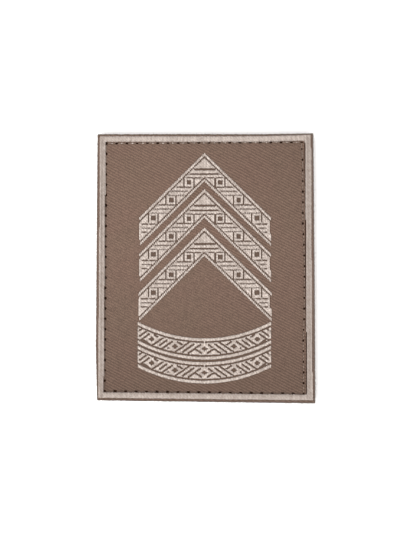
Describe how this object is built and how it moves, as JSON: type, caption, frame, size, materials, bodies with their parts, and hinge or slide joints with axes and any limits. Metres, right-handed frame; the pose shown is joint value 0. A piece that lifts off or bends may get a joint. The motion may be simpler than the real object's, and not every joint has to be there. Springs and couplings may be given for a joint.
{
  "type": "rank patch",
  "caption": "Rectangular woven cloth rank patch with a raised satin border, lace-patterned chevrons above curved rockers, and a hook-tape back.",
  "frame": {"origin": "on the surface that the patch lies on, under the middle of its bounding box", "axes": "+X to the patch's right as its face is read, +Y towards its top edge and the chevrons' points, +Z out of its face"},
  "size_m": [0.0654, 0.0806, 0.0036],
  "materials": {
    "ground_cloth": "brown twill weave, matte",
    "light_thread": "pale beige satin thread, soft sheen",
    "hook_tape": "dark brown nylon hook tape, matte"
  },
  "bodies": {
    "root": {"hook_backing": "hook_tape", "ground_cloth": "ground_cloth", "border": "light_thread", "chevron_top": "light_thread", "chevron_middle": "light_thread", "chevron_bottom": "light_thread", "rocker_upper": "light_thread", "rocker_lower": "light_thread"}
  },
  "joints": []
}
